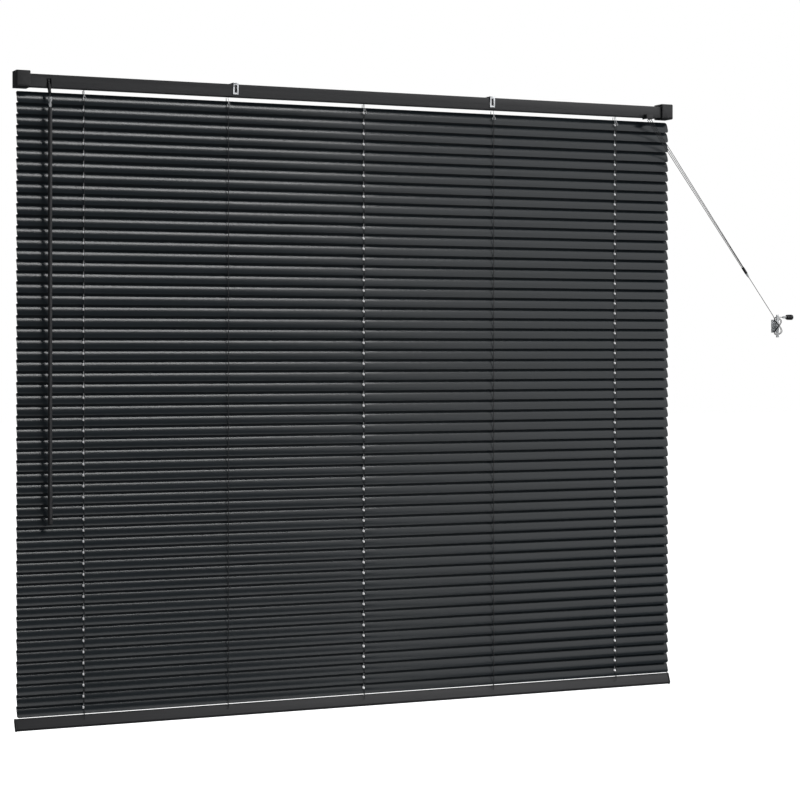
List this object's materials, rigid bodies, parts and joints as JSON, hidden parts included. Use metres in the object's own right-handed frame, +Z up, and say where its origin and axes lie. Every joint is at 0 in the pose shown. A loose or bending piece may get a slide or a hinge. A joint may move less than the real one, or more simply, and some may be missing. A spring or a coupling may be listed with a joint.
{
  "type": "venetian blind",
  "caption": "Aluminium venetian blind, closed: channel headrail, tilt wand, ladder strings, lift cords, cord lock, bottom rail and a wall cleat for its pull cords.",
  "frame": {"origin": "on the wall plane, midway along the headrail, level with the tops of the end brackets", "axes": "+X along the headrail, to the right as seen from the room; +Y into the wall, so the room is on the -Y side; +Z up"},
  "size_m": [1.829, 0.0428, 1.2997],
  "materials": {
    "rail": "satin charcoal stove enamel",
    "slat": "satin black enamel on thin aluminium",
    "plastic": "fine-grained black moulded plastic",
    "steel": "zinc-plated steel",
    "clear": "clear to pale grey moulded plastic",
    "string": "black braided polyester ladder string",
    "cord": "grey braided polyester cord"
  },
  "bodies": {
    "root": {"headrail": "rail", "end_bracket_left": "plastic", "end_bracket_right": "plastic", "tilter_housing": "plastic", "cord_lock_housing": "plastic", "cord_tassel": "plastic", "centre_clip_left": "steel", "centre_clip_right": "steel", "cord_joiner": "clear", "cord_cleat": "clear", "lift_cord_1": "cord", "pull_cord_1": "cord", "lift_cord_2": "cord", "pull_cord_2": "cord", "lift_cord_3": "cord", "pull_cord_3": "cord", "draw_cord": "cord"},
    "tilt_rod": {"tilt_rod": "steel", "tilter_gear": "plastic"},
    "slat_01": {"slat_01": "slat"},
    "slat_03": {"slat_03": "slat"},
    "slat_06": {"slat_06": "slat"},
    "slat_08": {"slat_08": "slat"},
    "slat_11": {"slat_11": "slat"},
    "slat_13": {"slat_13": "slat"},
    "slat_15": {"slat_15": "slat"},
    "slat_18": {"slat_18": "slat"},
    "slat_20": {"slat_20": "slat"},
    "slat_23": {"slat_23": "slat"},
    "slat_25": {"slat_25": "slat"},
    "slat_27": {"slat_27": "slat"},
    "slat_30": {"slat_30": "slat"},
    "slat_32": {"slat_32": "slat"},
    "slat_34": {"slat_34": "slat"},
    "slat_37": {"slat_37": "slat"},
    "slat_39": {"slat_39": "slat"},
    "slat_42": {"slat_42": "slat"},
    "slat_44": {"slat_44": "slat"},
    "slat_46": {"slat_46": "slat"},
    "slat_49": {"slat_49": "slat"},
    "slat_51": {"slat_51": "slat"},
    "slat_54": {"slat_54": "slat"},
    "slat_56": {"slat_56": "slat"},
    "bottom_rail": {"bottom_rail": "rail", "bottom_rail_cap_left": "plastic", "bottom_rail_cap_right": "plastic"},
    "tilter_worm": {"tilter_worm": "steel"},
    "wand_hook": {"wand_hook": "clear"},
    "wand": {"wand": "plastic"},
    "ladder_front": {"ladder_front_1": "string", "ladder_front_2": "string", "ladder_front_3": "string", "ladder_front_4": "string", "ladder_front_5": "string"},
    "ladder_rear": {"ladder_rear_1": "string", "ladder_rear_2": "string", "ladder_rear_3": "string", "ladder_rear_4": "string", "ladder_rear_5": "string"},
    "cord_lock_roller": {"cord_lock_roller": "steel"}
  },
  "joints": [
    {"name": "tilt", "type": "hinge", "parent": "root", "child": "tilt_rod", "pos_m": [0, -0.017, -0.02], "axis": [-1, 0, 0], "range_deg": [0, 68]},
    {"name": "slat_01_tilt", "type": "hinge", "parent": "root", "child": "slat_01", "pos_m": [0, -0.017, -0.0505], "axis": [-1, 0, 0], "range_deg": [0, 68]},
    {"name": "slat_03_tilt", "type": "hinge", "parent": "root", "child": "slat_03", "pos_m": [0, -0.017, -0.0945], "axis": [-1, 0, 0], "range_deg": [0, 68]},
    {"name": "slat_06_tilt", "type": "hinge", "parent": "root", "child": "slat_06", "pos_m": [0, -0.017, -0.1605], "axis": [-1, 0, 0], "range_deg": [0, 68]},
    {"name": "slat_08_tilt", "type": "hinge", "parent": "root", "child": "slat_08", "pos_m": [0, -0.017, -0.2045], "axis": [-1, 0, 0], "range_deg": [0, 68]},
    {"name": "slat_11_tilt", "type": "hinge", "parent": "root", "child": "slat_11", "pos_m": [0, -0.017, -0.2705], "axis": [-1, 0, 0], "range_deg": [0, 68]},
    {"name": "slat_13_tilt", "type": "hinge", "parent": "root", "child": "slat_13", "pos_m": [0, -0.017, -0.3145], "axis": [-1, 0, 0], "range_deg": [0, 68]},
    {"name": "slat_15_tilt", "type": "hinge", "parent": "root", "child": "slat_15", "pos_m": [0, -0.017, -0.3585], "axis": [-1, 0, 0], "range_deg": [0, 68]},
    {"name": "slat_18_tilt", "type": "hinge", "parent": "root", "child": "slat_18", "pos_m": [0, -0.017, -0.4245], "axis": [-1, 0, 0], "range_deg": [0, 68]},
    {"name": "slat_20_tilt", "type": "hinge", "parent": "root", "child": "slat_20", "pos_m": [0, -0.017, -0.4685], "axis": [-1, 0, 0], "range_deg": [0, 68]},
    {"name": "slat_23_tilt", "type": "hinge", "parent": "root", "child": "slat_23", "pos_m": [0, -0.017, -0.5345], "axis": [-1, 0, 0], "range_deg": [0, 68]},
    {"name": "slat_25_tilt", "type": "hinge", "parent": "root", "child": "slat_25", "pos_m": [0, -0.017, -0.5785], "axis": [-1, 0, 0], "range_deg": [0, 68]},
    {"name": "slat_27_tilt", "type": "hinge", "parent": "root", "child": "slat_27", "pos_m": [0, -0.017, -0.6225], "axis": [-1, 0, 0], "range_deg": [0, 68]},
    {"name": "slat_30_tilt", "type": "hinge", "parent": "root", "child": "slat_30", "pos_m": [0, -0.017, -0.6885], "axis": [-1, 0, 0], "range_deg": [0, 68]},
    {"name": "slat_32_tilt", "type": "hinge", "parent": "root", "child": "slat_32", "pos_m": [0, -0.017, -0.7325], "axis": [-1, 0, 0], "range_deg": [0, 68]},
    {"name": "slat_34_tilt", "type": "hinge", "parent": "root", "child": "slat_34", "pos_m": [0, -0.017, -0.7765], "axis": [-1, 0, 0], "range_deg": [0, 68]},
    {"name": "slat_37_tilt", "type": "hinge", "parent": "root", "child": "slat_37", "pos_m": [0, -0.017, -0.8425], "axis": [-1, 0, 0], "range_deg": [0, 68]},
    {"name": "slat_39_tilt", "type": "hinge", "parent": "root", "child": "slat_39", "pos_m": [0, -0.017, -0.8865], "axis": [-1, 0, 0], "range_deg": [0, 68]},
    {"name": "slat_42_tilt", "type": "hinge", "parent": "root", "child": "slat_42", "pos_m": [0, -0.017, -0.9525], "axis": [-1, 0, 0], "range_deg": [0, 68]},
    {"name": "slat_44_tilt", "type": "hinge", "parent": "root", "child": "slat_44", "pos_m": [0, -0.017, -0.9965], "axis": [-1, 0, 0], "range_deg": [0, 68]},
    {"name": "slat_46_tilt", "type": "hinge", "parent": "root", "child": "slat_46", "pos_m": [0, -0.017, -1.0405], "axis": [-1, 0, 0], "range_deg": [0, 68]},
    {"name": "slat_49_tilt", "type": "hinge", "parent": "root", "child": "slat_49", "pos_m": [0, -0.017, -1.1065], "axis": [-1, 0, 0], "range_deg": [0, 68]},
    {"name": "slat_51_tilt", "type": "hinge", "parent": "root", "child": "slat_51", "pos_m": [0, -0.017, -1.1505], "axis": [-1, 0, 0], "range_deg": [0, 68]},
    {"name": "slat_54_tilt", "type": "hinge", "parent": "root", "child": "slat_54", "pos_m": [0, -0.017, -1.2165], "axis": [-1, 0, 0], "range_deg": [0, 68]},
    {"name": "slat_56_tilt", "type": "hinge", "parent": "root", "child": "slat_56", "pos_m": [0, -0.017, -1.2605], "axis": [-1, 0, 0], "range_deg": [0, 68]},
    {"name": "bottom_rail_tilt", "type": "hinge", "parent": "root", "child": "bottom_rail", "pos_m": [0, -0.017, -1.2868], "axis": [-1, 0, 0], "range_deg": [0, 68]},
    {"name": "tilter_worm_turn", "type": "hinge", "parent": "root", "child": "tilter_worm", "pos_m": [-0.682, -0.038, -0.052], "axis": [0, 0.324, 0.9461], "range_deg": [0, 721]},
    {"name": "wand_swing", "type": "hinge", "parent": "root", "child": "wand_hook", "pos_m": [-0.682, -0.038, -0.052], "axis": [0, 1, 0], "range_deg": [-40, 40]},
    {"name": "wand_turn", "type": "hinge", "parent": "wand_hook", "child": "wand", "pos_m": [-0.682, -0.038, -0.072], "axis": [0, 0, 1], "range_deg": [0, 721]},
    {"name": "ladder_front_slide", "type": "slide", "parent": "root", "child": "ladder_front", "axis": [0, -0.5592, 0.829], "range_m": [0, 0.01567]},
    {"name": "ladder_rear_slide", "type": "slide", "parent": "ladder_front", "child": "ladder_rear", "axis": [0, 0.5592, -0.829], "range_m": [0, 0.03133]},
    {"name": "cord_lock_roller_slide", "type": "slide", "parent": "root", "child": "cord_lock_roller", "axis": [0, -0.6, 0.8], "range_m": [0, 0.003]}
  ],
  "couplings": [
    {"joint": "slat_01_tilt", "follows": "tilt", "ratio": 1},
    {"joint": "slat_03_tilt", "follows": "tilt", "ratio": 1},
    {"joint": "slat_06_tilt", "follows": "tilt", "ratio": 1},
    {"joint": "slat_08_tilt", "follows": "tilt", "ratio": 1},
    {"joint": "slat_11_tilt", "follows": "tilt", "ratio": 1},
    {"joint": "slat_13_tilt", "follows": "tilt", "ratio": 1},
    {"joint": "slat_15_tilt", "follows": "tilt", "ratio": 1},
    {"joint": "slat_18_tilt", "follows": "tilt", "ratio": 1},
    {"joint": "slat_20_tilt", "follows": "tilt", "ratio": 1},
    {"joint": "slat_23_tilt", "follows": "tilt", "ratio": 1},
    {"joint": "slat_25_tilt", "follows": "tilt", "ratio": 1},
    {"joint": "slat_27_tilt", "follows": "tilt", "ratio": 1},
    {"joint": "slat_30_tilt", "follows": "tilt", "ratio": 1},
    {"joint": "slat_32_tilt", "follows": "tilt", "ratio": 1},
    {"joint": "slat_34_tilt", "follows": "tilt", "ratio": 1},
    {"joint": "slat_37_tilt", "follows": "tilt", "ratio": 1},
    {"joint": "slat_39_tilt", "follows": "tilt", "ratio": 1},
    {"joint": "slat_42_tilt", "follows": "tilt", "ratio": 1},
    {"joint": "slat_44_tilt", "follows": "tilt", "ratio": 1},
    {"joint": "slat_46_tilt", "follows": "tilt", "ratio": 1},
    {"joint": "slat_49_tilt", "follows": "tilt", "ratio": 1},
    {"joint": "slat_51_tilt", "follows": "tilt", "ratio": 1},
    {"joint": "slat_54_tilt", "follows": "tilt", "ratio": 1},
    {"joint": "slat_56_tilt", "follows": "tilt", "ratio": 1},
    {"joint": "bottom_rail_tilt", "follows": "tilt", "ratio": 1},
    {"joint": "tilter_worm_turn", "follows": "tilt", "ratio": 10.588},
    {"joint": "wand_turn", "follows": "tilt", "ratio": 10.588},
    {"joint": "ladder_front_slide", "follows": "tilt", "m_per_rad": 0.013195},
    {"joint": "ladder_rear_slide", "follows": "tilt", "m_per_rad": 0.02639}
  ]
}
